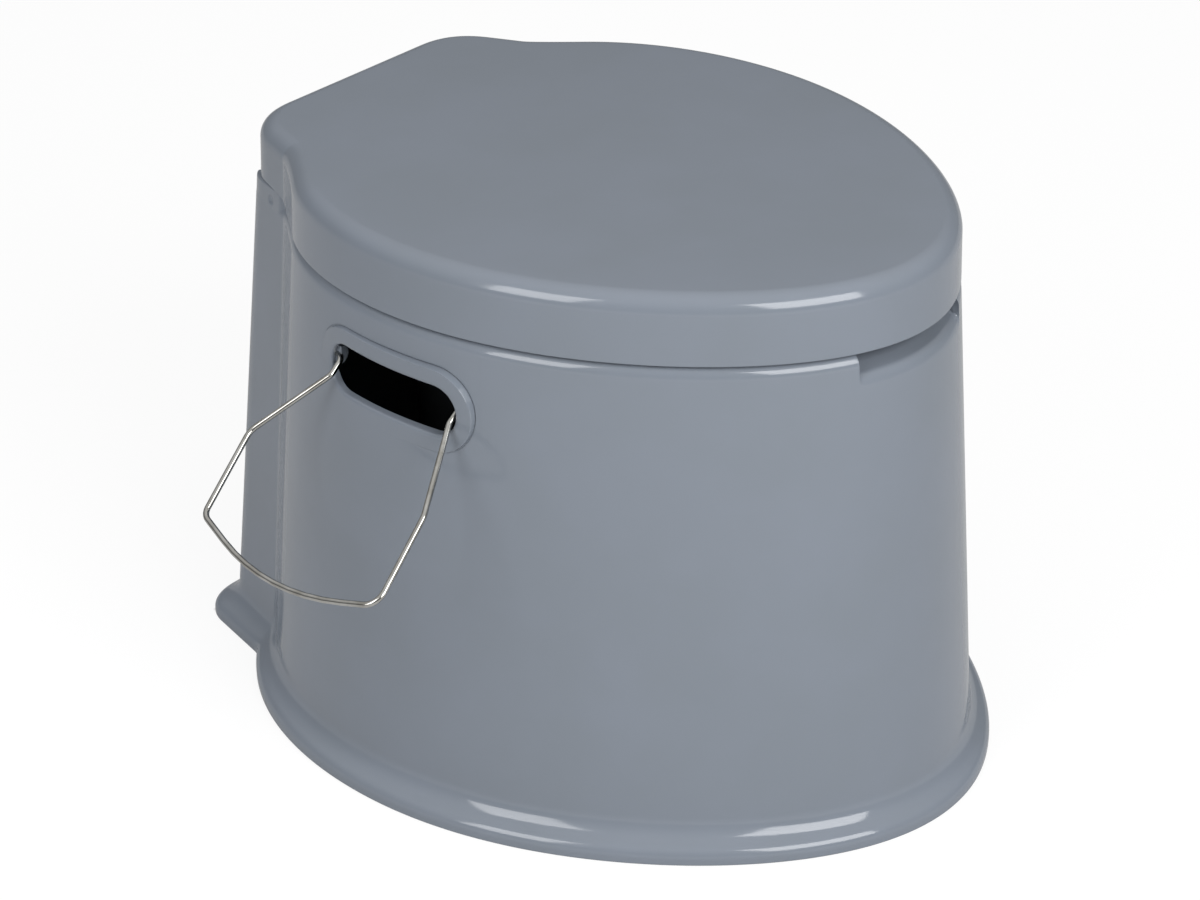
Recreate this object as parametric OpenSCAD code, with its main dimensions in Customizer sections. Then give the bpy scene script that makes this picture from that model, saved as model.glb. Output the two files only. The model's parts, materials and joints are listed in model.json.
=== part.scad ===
// Portable camp toilet: an oval moulded casing with a hinged lid and seat, a lift-out
// bucket with a wire bail, and a wire holder for a paper roll in one hand slot.
// +Z is up, the front faces -Y and the hinge is at +Y. The origin is on the floor, on the
// midline, below the widest point of the oval.

/* [Plan of the casing and lid] */
// Width of the casing's top edge and of the lid, at the widest point
top_w = 296; // [280:1:320]
// From the widest point to the front of the top edge
front_reach = 196.5; // [185:0.5:215]
// From the widest point to the back of the oval, inside the hinge block
oval_reach = 151; // [147:0.5:155]
// How far the hinge block stands out behind the oval
block_out = 18.5; // [16:0.5:22]
// Width of the hinge block across the middle of its sides
block_w = 173.6; // [168:0.2:180]
// From the back of the hinge block to the middle of its sides
block_side_back = 26; // [22:0.5:30]
// Angle at which the hinge block's sides spread towards the front
block_flare = 22; // [16:1:26]
// How far the block's sides move out for each millimetre that the walls lean out
block_side_growth = 0.89; // [0.8:0.01:1]
// How far they move back for each of those millimetres
block_side_drift = 0.46; // [0.3:0.01:0.6]
// How far the block's back moves out for each of those millimetres
block_back_growth = 0.9; // [0.85:0.01:1]
// Angle that the sides' spread loses for each of those millimetres
flare_loss = 0.2; // [0.1:0.01:0.3]
// Angle from the front at which the oval starts to sweep into the hinge block
blend_turn = 132; // [130:0.5:133]
// Angle that this start moves back for each of those millimetres
blend_shift = 0.25; // [0.2:0.01:0.28]
// Length of the rounding on each side of the casing's rear corners
casing_corner = 17; // [14:0.5:20]
// Length of the rounding on each side of the lid's rear corners
lid_corner = 26; // [22:0.5:27]
// Length of the rounding where the oval's sweep meets the block's side
crease_len = 4.5; // [3:0.5:5]
// Fullness of the front curve, where 1 is an ellipse and less is more pointed
front_fullness = 0.964; // [0.95:0.001:1.01]
// Fullness of the rear curve
rear_fullness = 1.026; // [1:0.001:1.05]

/* [Casing] */
// Height of the casing without the lid
casing_h = 257.6; // [240:0.2:280]
// How far the walls lean out from the top edge to the floor
wall_lean = 19; // [14:0.5:24]
// Thickness of the casing's walls and deck
casing_wall = 3; // [2.4:0.1:3.4]
// Radius of the casing's top edge
casing_edge_r = 6.5; // [4:0.5:7]
// How far the foot rim stands out from the wall
rim_out = 11.5; // [8:0.5:14]
// Height of the foot rim's upright lip
rim_lip_h = 3.5; // [2:0.5:6]
// Radius where the lip rolls over into the rim
rim_edge_r = 6.5; // [5:0.5:9]
// Radius where the rim sweeps up into the wall
rim_root_r = 13.5; // [9:0.5:18]
// Width of the finger recess under the front of the lid
recess_w = 80; // [60:1:100]
// Height of the finger recess
recess_h = 17; // [12:0.5:20]
// Depth of the finger recess at its top
recess_depth = 15; // [11:0.5:16]
// Depth of the rolled edge at the foot of the finger recess
recess_roll = 6; // [4:0.5:8]

/* [Hand slots] */
// Length of a hand slot
slot_len = 84; // [80:1:90]
// Height of a hand slot
slot_h = 25.6; // [22:0.4:30]
// Middle of the hand slots, behind the widest point
slot_y = 6.5; // [5:0.5:8]
// Middle of the hand slots, above the floor
slot_z = 219; // [210:0.5:222]
// Width of the raised surround round a hand slot
surround_w = 9; // [6:0.5:12]
// How far the surround stands out beyond the lid's side
surround_out = 4.2; // [3.6:0.1:5]
// How far the surround is set towards the front, which makes it proud there
surround_shift = 5; // [2:0.5:7]
// Thickness of the collar that lines a hand slot
collar_t = 4; // [3:0.5:5]
// Depth of the collar, from the casing's outer face inwards
collar_depth = 4.4; // [4:0.2:6]
// Radius of the lugs behind a slot's ends, for the roll holder's wire
lug_r = 4.5; // [4:0.5:6]

/* [Lid] */
// Height of the lid
lid_h = 34.2; // [30:0.2:40]
// Thickness of the lid
lid_wall = 2.8; // [2:0.1:3.2]
// Radius of the lid's top edge
lid_edge_r = 9.5; // [6:0.5:11]
// How far the lid's sides lean in from bottom to top
lid_lean = 0.8; // [0.2:0.1:1.5]
// Height of the gap above the casing along the hinge at the back
back_gap = 4.4; // [4:0.1:6]

/* [Hinge] */
// Pin axis, inside the back of the hinge block
hinge_inset = 6.5; // [6:0.5:7]
// Pin axis, below the casing's top edge
hinge_drop = 14.6; // [14:0.2:15.4]
// Diameter of the hinge pins
pin_d = 5; // [4:0.2:6]
// Radius of the ears that turn on the pins
ear_r = 6.5; // [5.5:0.1:6.6]
// Length of each ear along the pin
ear_len = 14.5; // [10:0.5:15]
// Radius of the casing's knuckles
knuckle_r = 15; // [14:0.1:15.2]
// Distance between the two knuckles, across the windows for the ears
knuckle_span = 120; // [114:1:122]
// Length of each knuckle along the pin
knuckle_len = 12; // [9:0.5:14]
// How far each pin reaches into its knuckle
pin_hold = 6; // [4:0.5:7]
// Thickness of the inner web that carries each pin
pin_web_t = 6; // [4:0.5:8]
// How far the windows for the ears reach below the pin axis
window_drop = 21; // [20.5:0.5:26]

/* [Seat] */
// Height of the seat
seat_h = 22; // [21:0.5:24]
// Thickness of the seat's skin
seat_wall = 3; // [2:0.1:3.4]
// Gap between the seat's edge and the inside of the lid
seat_clear = 4; // [3.5:0.5:6]
// Radius of the seat's outer top edge
seat_edge_r = 7; // [5:0.5:8]
// Radius of the edge of the seat's opening
seat_lip_r = 6; // [5:0.5:7]
// Width of the seat's opening
seat_hole_w = 184; // [176:1:188]
// Length of the seat's opening
seat_hole_len = 236; // [226:1:240]
// How much lower the seat's top is at its opening
seat_dish = 4; // [2:0.5:5]

/* [Bucket] */
// Width of the bucket's mouth, inside
bucket_w = 206; // [202:1:208]
// From the front of the casing's top edge to the bucket's mouth
bucket_front_room = 43.5; // [42:0.5:46]
// From the bucket's mouth to the back of the oval
bucket_back_room = 48; // [46:0.5:50]
// Depth of the bucket below its flange
bucket_depth = 208; // [180:1:215]
// How much the bucket narrows on each side from mouth to floor
bucket_taper = 16; // [8:1:20]
// Thickness of the bucket
bucket_wall = 2; // [1.6:0.1:2.4]
// Width of the bucket's flange
flange_w = 11; // [10:0.5:12]
// Diameter of the bail's wire
bail_d = 4; // [3:0.2:5]
// Diameter of the bail's grip
grip_d = 10.6; // [9:0.2:10.8]
// Length of the bail's grip
grip_len = 76; // [60:1:84]
// Radius of the bail's rear bends
bail_bend_r = 62; // [50:1:66]

/* [Roll holder] */
// Diameter of the holder's wire
holder_d = 3; // [2.4:0.1:3]
// Distance between the holder's arms where they leave the slot
holder_root_w = 76; // [72:1:76]
// Distance from the pivot to the bend in the front arm
holder_front_bend = 58; // [52:1:64]
// Distance from the pivot to the bend in the rear arm
holder_rear_bend = 53; // [46:1:60]
// Where the front arm bends, from the middle of the holder
holder_front_spread = 55; // [50:0.5:58]
// Where the rear arm bends, from the middle of the holder
holder_rear_spread = 61; // [54:0.5:64]
// Distance from the pivot to the front corner
holder_front_reach = 105.5; // [100:0.5:110]
// Distance from the pivot to the rear corner
holder_rear_reach = 100; // [95:0.5:104]
// Distance between the two corners
holder_end_w = 116; // [112:1:120]
// Middle of the holder's end, in front of its arms' middle
holder_end_shift = 2; // [0:0.5:4]
// Radius of the bow in the holder's end
holder_bow_r = 120; // [90:5:130]
// Angle below level at which the holder hangs
holder_angle = 36; // [30:1:40]
// Middle of the holder, in front of the middle of the slot
holder_front = 1.2; // [1:0.1:2]
// How far the pivot lies inside the casing's side, at the widest point
pivot_inset = 9.6; // [9:0.1:11]
// Height of the pivot above the middle of the slot
pivot_rise = 3; // [1:0.5:4]
// Radius of the bend where the rear arm turns into its lug
holder_rear_bend_r = 4.6; // [2:0.1:4.6]
// How far the loop's end bows out beyond its front corner
holder_bow = 18; // [12:0.5:20]

/* [Fits] */
// Radial clearance of the pins and of the wire's ends in their bores
pin_clear = 0.1; // [0.05:0.01:0.1]
// Gap between pieces that rest on or pass each other
gap = 0.3; // [0.25:0.01:0.4]
// Gap between the lid's bottom edge and the casing
lid_gap = 0.5; // [0.4:0.05:0.8]

/* [Hidden] */
$fn = 48;

FRONT_STEPS = 13;
REAR_STEPS = 5;
SWEEP_STEPS = 4;
CORNER_STEPS = 5;
OVAL_STEPS = 56;
EDGE_STEPS = 3;
BEND_STEP = 15;
WIRE_SIDES = 12;
BEND_FILL = 0.98;
PAST = 1;
// How far the arm above an ear is set in from the ear's front
EAR_FLAT = 1.5;

grey = [0.52, 0.56, 0.6];
dark_grey = [0.16, 0.17, 0.19];
steel = [0.78, 0.78, 0.76];

block_reach = oval_reach + block_out;
hinge_y = block_reach - hinge_inset;
hinge_z = casing_h - hinge_drop;
deck_z = casing_h - casing_wall;
lid_z = casing_h + lid_gap;
lid_top = lid_z + lid_h;
back_z = casing_h + back_gap;

rim_turn = acos(1 - rim_out / (rim_edge_r + rim_root_r));
rim_h = rim_lip_h + (rim_edge_r + rim_root_r) * sin(rim_turn);
rim_lean = wall_offset(rim_h) + rim_out;

// Along each pin from its outer end inwards: knuckle, lid ear, seat ear, web
knuckle_x = knuckle_span / 2;
pin_end = knuckle_x + pin_hold;
lid_ear_x = knuckle_x - gap - ear_len;
seat_ear_x = lid_ear_x - gap - ear_len;
web_x = seat_ear_x - gap - pin_web_t;

seat_z = casing_h + gap;
seat_top = seat_z + seat_h;
seat_inset = lid_wall + seat_clear;
seat_low = seat_top - seat_dish;

bucket_low_y = bucket_front_room - front_reach;
bucket_high_y = oval_reach - bucket_back_room;
bucket_y = (bucket_low_y + bucket_high_y) / 2;
flange_z = casing_h + gap;
flange_top = flange_z + casing_wall;
mouth_a = bucket_w / 2;
mouth_b = (bucket_high_y - bucket_low_y) / 2;
bail_z = flange_top + grip_d / 2 + gap;
bail_x = mouth_a + flange_w * 0.6;
bail_back = mouth_b + flange_w * 0.7;

pivot_x = top_w / 2 + wall_offset(slot_z + pivot_rise) - pivot_inset;
pivot_z = slot_z + pivot_rise;
holder_y = slot_y - holder_front;
collar_end = slot_len / 2 + collar_t;

// How far the casing's outline stands out beyond its top edge at height z
function wall_offset(z) = wall_lean * (casing_h - z) / casing_h;

// Point of the oval at an angle from the front: an ellipse made fuller or more pointed
function oval_point(turn, out) = let (front = cos(turn) >= 0,
    fullness = front ? front_fullness : rear_fullness, k = (1 - fullness) / (1 + fullness),
    reach = (front ? front_reach : oval_reach) + out)
    [(top_w / 2 + out) * (sin(turn) - k * sin(3 * turn)),
     -reach * (cos(turn) + k * cos(3 * turn))] / (1 + k);

function front_curve(out) = [for (i = [0:FRONT_STEPS]) oval_point(90 * i / FRONT_STEPS, out)];

function rear_curve(out) = let (sweep = blend_turn + blend_shift * max(out, 0) - 90)
    [for (i = [1:REAR_STEPS]) oval_point(90 + sweep * i / REAR_STEPS, out)];

// Sweep from the oval into the hinge block's side, then its corner, rounded over a length;
// further down the casing, where it is let out, the block spreads less and the oval goes on longer
function block_curve(out, corner_len) = let (
    lean = max(out, 0),
    turn = blend_turn + blend_shift * lean,
    flare = block_flare - flare_loss * lean,
    start = oval_point(turn, out),
    tangent = oval_point(turn + 1, out) - oval_point(turn - 1, out),
    along = [-sin(flare), cos(flare)],
    side = [block_w / 2, block_reach - block_side_back] + (out > 0
        ? out * [block_side_growth, block_side_drift]
        : out * [cos(block_flare), sin(block_flare)]),
    back = block_reach + out * (out > 0 ? block_back_growth : 1),
    crease = meeting(start, tangent, side, along),
    corner = meeting(side, along, [0, back], [1, 0]),
    room = norm(corner - crease),
    crease_end = crease + along * min(crease_len, room * 0.16),
    leg = min(corner_len + min(out, 0) * tan((90 - block_flare) / 2), room * 0.82))
    concat(bend_points(start, crease, crease_end, SWEEP_STEPS, 1),
           bend_points(corner - along * leg, corner, corner - [leg, 0], CORNER_STEPS, 0));

// Points along a curve between two points on the two lines through a corner
function bend_points(from, corner, to, steps, first) = [for (i = [first:steps])
    let (t = i / steps) from * (1 - t) * (1 - t) + corner * 2 * t * (1 - t) + to * t * t];

// Where two lines meet, each through a point and along a direction
function meeting(p, u, q, v) = p + u * ((q[0] - p[0]) * v[1] - (q[1] - p[1]) * v[0])
    / (u[0] * v[1] - u[1] * v[0]);

function mirrored(half) = concat(half,
    [for (i = [len(half) - 1:-1:0]) if (half[i][0] > 0.001) [-half[i][0], half[i][1]]]);

// Outline with the hinge block, let out by a distance
function plan(out, corner_len) =
    mirrored(concat(front_curve(out), rear_curve(out), block_curve(out, corner_len)));

// Outline of the oval alone, without the hinge block
function oval_plan(out) = [for (i = [0:OVAL_STEPS - 1]) oval_point(360 * i / OVAL_STEPS, out)];

// Ellipse about the bucket's middle, with as many points as the oval
function mouth_plan(a, b) = [for (i = [0:OVAL_STEPS - 1]) let (t = 360 * i / OVAL_STEPS)
    [a * sin(t), bucket_y - b * cos(t)]];

function lifted(outline, z) = [for (p = outline) [p[0], p[1], z]];

// Foot rim as [height, offset] pairs, set in from the outer face by a wall
function rim_profile(wall, steps) = concat(
    [for (i = [0:steps]) let (t = rim_turn * i / steps)
        [rim_lip_h + (rim_edge_r - wall) * sin(t),
         rim_lean - rim_edge_r + (rim_edge_r - wall) * cos(t)]],
    [for (i = [steps - 1:-1:0]) let (t = rim_turn * i / steps)
        [rim_h - (rim_root_r + wall) * sin(t),
         wall_offset(rim_h) + rim_root_r - (rim_root_r + wall) * cos(t)]]);

// Rounded top edge as [height, offset] pairs
function edge_profile(top, side, r) = [for (i = [0:EDGE_STEPS]) let (t = 90 * i / EDGE_STEPS)
    [top - r + r * sin(t), side - r * (1 - cos(t))]];

// Closed skin through rings of points, from the bottom up on the outside
module skin(rings, closed_loop = false) {
    n = len(rings[0]);
    m = len(rings);
    points = [for (r = rings) each r];
    sides = [for (k = [0:(closed_loop ? m - 1 : m - 2)], i = [0:n - 1])
        let (a = k * n + i, b = k * n + (i + 1) % n,
             c = ((k + 1) % m) * n + (i + 1) % n, d = ((k + 1) % m) * n + i)
        each [[a, d, c], [a, c, b]]];
    caps = closed_loop ? [] : [[for (i = [0:n - 1]) i], [for (i = [n - 1:-1:0]) (m - 1) * n + i]];
    polyhedron(points, concat(caps, sides), convexity = 10);
}

module plan_skin(levels, corner_len = casing_corner) {
    skin([for (l = levels) lifted(plan(l[1], corner_len), l[0])]);
}

// Level box from one corner to the opposite one
module block(low, high) {
    translate(low) cube(high - low);
}

// Round bar along X
module cross_bar(x_low, x_high, y, z, r) {
    translate([x_low, y, z]) rotate([0, 90, 0]) cylinder(h = x_high - x_low, r = r);
}

// Solid with round ends, seen from the side, between two distances from the midline
module side_slot(x_low, x_high, length, height) {
    translate([x_low, slot_y, slot_z]) rotate([90, 0, 90]) linear_extrude(x_high - x_low)
        union() {
            square([length - height, height], center = true);
            for (s = [-1, 1]) translate([s * (length - height) / 2, 0]) circle(d = height);
        }
}

module on_both_sides() {
    children();
    mirror([1, 0, 0]) children();
}

// Points along a path in the XY plane whose [x, y, radius] corners are rounded
function rounded(path) = let (n = len(path)) [for (i = [0:n - 1])
    let (p = [path[i][0], path[i][1]])
    each (i == 0 || i == n - 1 ? [p] :
        let (back = heading(path[i - 1], path[i]), ahead = heading(path[i], path[i + 1]),
             turn = atan2(back[0] * ahead[1] - back[1] * ahead[0], back * ahead),
             start = p - back * path[i][2] * tan(abs(turn) / 2),
             centre = start + sign(turn) * path[i][2] * [-back[1], back[0]],
             steps = max(2, ceil(abs(turn) / BEND_STEP)))
        [for (k = [0:steps]) centre + turned(start - centre, turn * k / steps)])];

function heading(from, to) = let (v = [to[0] - from[0], to[1] - from[1]]) v / norm(v);

function turned(v, angle) = [v[0] * cos(angle) - v[1] * sin(angle),
                             v[0] * sin(angle) + v[1] * cos(angle)];

// Ring of points square to a path at one of its points
function wire_ring(points, i, r) = let (n = len(points),
    back = heading(points[max(i - 1, 0)], points[max(i, 1)]),
    ahead = heading(points[min(i, n - 2)], points[min(i + 1, n - 1)]),
    way = (back + ahead) / norm(back + ahead), across = [-way[1], way[0]] / (way * back))
    [for (k = [0:WIRE_SIDES - 1]) let (t = 360 * k / WIRE_SIDES)
        [points[i][0] + across[0] * r * cos(t), points[i][1] + across[1] * r * cos(t), r * sin(t)]];

// Bent wire in the XY plane, and a true round pin of the same wire beyond each end of it
module wire(path, d, pin_len) {
    points = rounded(path);
    n = len(points);
    skin([for (i = [0:n - 1]) wire_ring(points, i, d / 2 * BEND_FILL)]);
    for (end = [[points[0], heading(points[1], points[0])],
                [points[n - 1], heading(points[n - 2], points[n - 1])]])
        translate([end[0][0], end[0][1], 0])
            rotate([0, 90, atan2(end[1][1], end[1][0])]) translate([0, 0, -d / 4])
                cylinder(h = pin_len + d / 4, d = d);
}

// ---- casing ----

module casing_outside() {
    plan_skin(concat([[0, rim_lean]], rim_profile(0, 4),
        edge_profile(casing_h, wall_offset(casing_h - casing_edge_r), casing_edge_r)));
}

module casing_inside() {
    plan_skin(concat([[-PAST, rim_lean - casing_wall]], rim_profile(casing_wall, 2),
        [[deck_z, wall_offset(deck_z) - casing_wall]]));
}

// Face of the finger recess, set in by a wall: its rolled edge, and the pocket above that
module recess_skin(wall) {
    foot = casing_h - recess_h;
    low = foot - 2 * casing_wall;
    roll_z = foot + recess_h * 0.4;
    plan_skin([[low, wall_offset(low) - wall], [foot, wall_offset(foot) - wall],
               [(foot + roll_z) / 2, wall_offset(foot) - recess_roll * 0.3 - wall],
               [roll_z, -recess_roll - wall], [foot + recess_h * 0.6, -recess_depth - wall],
               [casing_h + PAST, -recess_depth - wall]]);
}

module recess_zone(margin, low) {
    block([-recess_w / 2 - margin, -front_reach - wall_lean, low],
          [recess_w / 2 + margin, -front_reach / 2, casing_h + PAST / 2]);
}

// Lining behind the finger recess
module recess_backing() {
    difference() {
        intersection() {
            recess_skin(0);
            recess_zone(casing_wall, casing_h - recess_h - casing_wall);
            block([-top_w, -front_reach * 2, 0], [top_w, 0, casing_h - casing_wall / 2]);
        }
        recess_skin(casing_wall);
    }
}

module recess_cut() {
    difference() {
        recess_zone(0, casing_h - recess_h);
        recess_skin(0);
    }
}

// Straight-sided body between two heights, set in from the casing's walls
module wall_body(low, high, inset) {
    plan_skin([for (z = [low, high]) [z, wall_offset(z) - inset]]);
}

// Surround, collar and lugs of one hand slot, on the right
module slot_surround() {
    side = top_w / 2 + wall_offset(slot_z);
    low = slot_z - slot_h;
    high = slot_z + slot_h;
    intersection() {
        side_slot(side - surround_w, side + surround_w, slot_len + 2 * surround_w,
                  slot_h + 2 * surround_w);
        translate([0, -surround_shift, 0])
            plan_skin([[slot_z - 2 * slot_h, surround_out], [deck_z, surround_out]]);
    }
    difference() {
        intersection() {
            side_slot(side / 2, side, 2 * collar_end, slot_h + 2 * collar_t);
            wall_body(low, high, casing_wall / 2);
        }
        wall_body(low - PAST, high + PAST, collar_depth);
    }
    intersection() {
        for (end = [-1, 1]) translate([pivot_x, slot_y + end * slot_len / 2, pivot_z]) {
            rotate([90, 0, 0]) cylinder(h = 2 * collar_t, r = lug_r, center = true);
            block([0, -collar_t, -lug_r], [pivot_inset, collar_t, lug_r]);
        }
        wall_body(low, high, casing_wall / 2);
    }
}

module bucket_opening() {
    translate([0, 0, deck_z - PAST - casing_wall]) linear_extrude(2 * casing_wall + 2 * PAST)
        polygon(mouth_plan(mouth_a + bucket_wall + 2 * gap, mouth_b + bucket_wall + 2 * gap));
}

// Window in the hinge block for the ears on one side
module hinge_window() {
    block([web_x + pin_web_t, hinge_y - 2 * ear_r, hinge_z - window_drop],
          [knuckle_x, block_reach + wall_lean, casing_h + PAST]);
}

// Knuckle and inner web of one side, set in a little from the casing's faces
module casing_knuckle() {
    low = hinge_z - 2 * knuckle_r;
    intersection() {
        union() {
            cross_bar(knuckle_x, knuckle_x + knuckle_len, hinge_y, hinge_z, knuckle_r);
            block([web_x, hinge_y - 2 * ear_r, hinge_z - 2 * ear_r],
                  [web_x + pin_web_t, block_reach, deck_z + casing_wall / 2]);
        }
        plan_skin(concat([[low, wall_offset(low) - gap]],
            edge_profile(casing_h - gap, wall_offset(casing_h) - gap, casing_edge_r)));
    }
}

module body_shell() {
    color(grey) difference() {
        union() {
            difference() {
                casing_outside();
                casing_inside();
                on_both_sides() hinge_window();
            }
            recess_backing();
            on_both_sides() slot_surround();
            on_both_sides() casing_knuckle();
        }
        recess_cut();
        bucket_opening();
        on_both_sides() side_slot(top_w / 4, top_w, slot_len, slot_h);
        on_both_sides() cross_bar(web_x - PAST, pin_end + gap, hinge_y, hinge_z,
                                  pin_d / 2 + pin_clear);
        on_both_sides() translate([pivot_x, slot_y, pivot_z]) rotate([90, 0, 0])
            cylinder(h = 2 * collar_end + 4 * PAST, r = holder_d / 2 + pin_clear, center = true);
    }
}

// ---- lid ----

module lid_outside() {
    plan_skin(concat([[lid_z, 0]], edge_profile(lid_top, -lid_lean, lid_edge_r)), lid_corner);
}

module lid_inside() {
    inner_r = lid_edge_r - lid_wall;
    plan_skin(concat([[lid_z - PAST, -lid_wall]],
        edge_profile(lid_top - lid_wall, -lid_lean - lid_wall, inner_r)), lid_corner);
}

// Ear on the pin and the arm that carries it, on the right
module lid_ear() {
    cross_bar(lid_ear_x, lid_ear_x + ear_len, hinge_y, hinge_z, ear_r);
    intersection() {
        block([lid_ear_x, hinge_y - ear_r + EAR_FLAT, hinge_z],
              [lid_ear_x + ear_len, block_reach, lid_z + lid_edge_r]);
        plan_skin([[hinge_z - PAST, -lid_lean], [lid_top, -lid_lean]], lid_corner);
    }
}

module lid() {
    color(grey) difference() {
        union() {
            difference() {
                lid_outside();
                lid_inside();
                block([-top_w, hinge_y, 0], [top_w, 2 * block_reach, back_z]);
            }
            on_both_sides() lid_ear();
        }
        on_both_sides() cross_bar(lid_ear_x - PAST, lid_ear_x + ear_len + PAST, hinge_y, hinge_z,
                                  pin_d / 2 + pin_clear);
    }
}

// ---- seat ----

// Rings round the seat's outer edge, from its foot to its top, set in by a wall
function seat_edge_rings(wall) = concat([lifted(oval_plan(-seat_inset - wall), seat_z)],
    [for (p = edge_profile(seat_top - wall, -seat_inset - wall, seat_edge_r - wall))
        lifted(oval_plan(p[1]), p[0])]);

// Rings round the seat's opening, from its foot to its lip, set in by a wall
function seat_hole_rings(wall) = concat(
    [lifted(mouth_plan(seat_hole_w / 2 + wall, seat_hole_len / 2 + wall), seat_z + seat_wall)],
    [for (p = edge_profile(seat_low - wall, -wall, seat_lip_r - wall))
        lifted(mouth_plan(seat_hole_w / 2 - p[1], seat_hole_len / 2 - p[1]), p[0])]);

function backwards(list) = [for (i = [len(list) - 1:-1:0]) list[i]];

module seat_ear() {
    low = hinge_y - ear_r + EAR_FLAT;
    high = hinge_y + ear_r - EAR_FLAT;
    rear_inside = oval_reach - seat_inset - 2 * ear_r;
    cross_bar(seat_ear_x, seat_ear_x + ear_len, hinge_y, hinge_z, ear_r);
    translate([seat_ear_x, 0, 0]) rotate([90, 0, 90]) linear_extrude(ear_len) polygon([
        [low, hinge_z], [high, hinge_z], [high, casing_h], [hinge_y - ear_r, seat_top - seat_wall],
        [rear_inside, seat_top - seat_wall], [rear_inside, seat_z + seat_h / 2],
        [hinge_y - 2 * ear_r, seat_z + seat_h / 2], [low, casing_h]]);
}

module seat() {
    color(grey) difference() {
        union() {
            skin(concat(seat_edge_rings(0), backwards(seat_hole_rings(0)),
                        seat_hole_rings(seat_wall), backwards(seat_edge_rings(seat_wall))), true);
            on_both_sides() seat_ear();
        }
        on_both_sides() cross_bar(seat_ear_x - PAST, seat_ear_x + ear_len + PAST, hinge_y, hinge_z,
                                  pin_d / 2 + pin_clear);
    }
}

// ---- hinge pins ----

module hinge_pin() {
    cross_bar(web_x, pin_end, hinge_y, hinge_z, pin_d / 2);
}

module hinge_pin_right() {
    color(steel) hinge_pin();
}

module hinge_pin_left() {
    color(steel) mirror([1, 0, 0]) hinge_pin();
}

// ---- bucket ----

// Wall of the bucket as rings, set out by a distance from its inside
function bucket_ring(out, z) = let (drop = bucket_taper * (flange_top - z) / bucket_depth)
    lifted(mouth_plan(mouth_a + out - drop, mouth_b + out - drop), z);

// Ear on the flange that one end of the bail turns in, on the right
module bail_ear() {
    block([bail_x - bail_d * 0.9, bucket_y - bail_d, flange_z],
          [bail_x + bail_d * 0.9, bucket_y + bail_d, bail_z + bail_d]);
}

module bucket() {
    floor_z = flange_top - bucket_depth;
    color(dark_grey) difference() {
        union() {
            difference() {
                union() {
                    skin([bucket_ring(bucket_wall, floor_z), bucket_ring(bucket_wall, flange_top)]);
                    skin([lifted(mouth_plan(mouth_a + flange_w, mouth_b + flange_w), flange_z),
                          lifted(mouth_plan(mouth_a + flange_w, mouth_b + flange_w), flange_top)]);
                }
                skin([bucket_ring(0, floor_z + bucket_wall), bucket_ring(0, flange_top + PAST)]);
            }
            on_both_sides() bail_ear();
        }
        on_both_sides() cross_bar(bail_x - 2 * bail_d, bail_x + 2 * bail_d, bucket_y, bail_z,
                                  bail_d / 2 + pin_clear);
    }
}

module bucket_bail() {
    side = bail_x + bail_d * 1.9;
    bend = bail_d * 0.8;
    half = [[side - bend - bail_d / 2, 0, 0], [side, 0, bend], [side, bail_back * 0.4, bail_d * 5],
            [bail_x - bail_bend_r / 2, bail_back, bail_bend_r]];
    color(steel) translate([0, bucket_y, bail_z]) wire(concat(half,
        [for (i = [len(half) - 1:-1:0]) [-half[i][0], half[i][1], half[i][2]]]), bail_d, bail_d * 2);
}

module bail_grip() {
    color(dark_grey) difference() {
        cross_bar(-grip_len / 2, grip_len / 2, bucket_y + bail_back, bail_z, grip_d / 2);
        cross_bar(-grip_len, grip_len, bucket_y + bail_back, bail_z, bail_d / 2 + pin_clear);
    }
}

// ---- roll holder ----

module roll_holder() {
    root = holder_root_w / 2;
    bend = holder_d * 0.7;
    tip = root + holder_rear_bend_r + holder_d / 4;
    arm_out = pivot_inset + 2;
    color(steel) translate([-pivot_x, holder_y, pivot_z]) rotate([0, -holder_angle, 0])
        wire([[0, -tip, 0], [0, -root, bend], [-arm_out, -root, holder_d * 2],
              [-holder_front_bend, -holder_front_spread, holder_d * 4],
              [-holder_front_reach, -holder_end_w / 2 - holder_end_shift, holder_d * 3],
              [-holder_front_reach - holder_bow, -holder_end_shift, holder_bow_r],
              [-holder_rear_reach, holder_end_w / 2 - holder_end_shift, holder_d * 2.3],
              [-holder_rear_bend, holder_rear_spread, holder_d * 4],
              [-arm_out, root, holder_d * 2], [0, root, holder_rear_bend_r], [0, tip, 0]],
             holder_d, collar_end - tip);
}

body_shell();
lid();
seat();
hinge_pin_left();
hinge_pin_right();
bucket();
bucket_bail();
bail_grip();
roll_holder();
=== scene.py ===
# Portable camp toilet: moulded casing, lid, seat and bucket, bent wire and steel pins, built round
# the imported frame. Shapes are worked out in millimetres and scaled to metres when a piece is made.
import json
from math import acos, atan2, ceil, cos, pi, radians, sin, sqrt, tan

import bmesh
import bpy
from mathutils import Matrix, Vector


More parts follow.
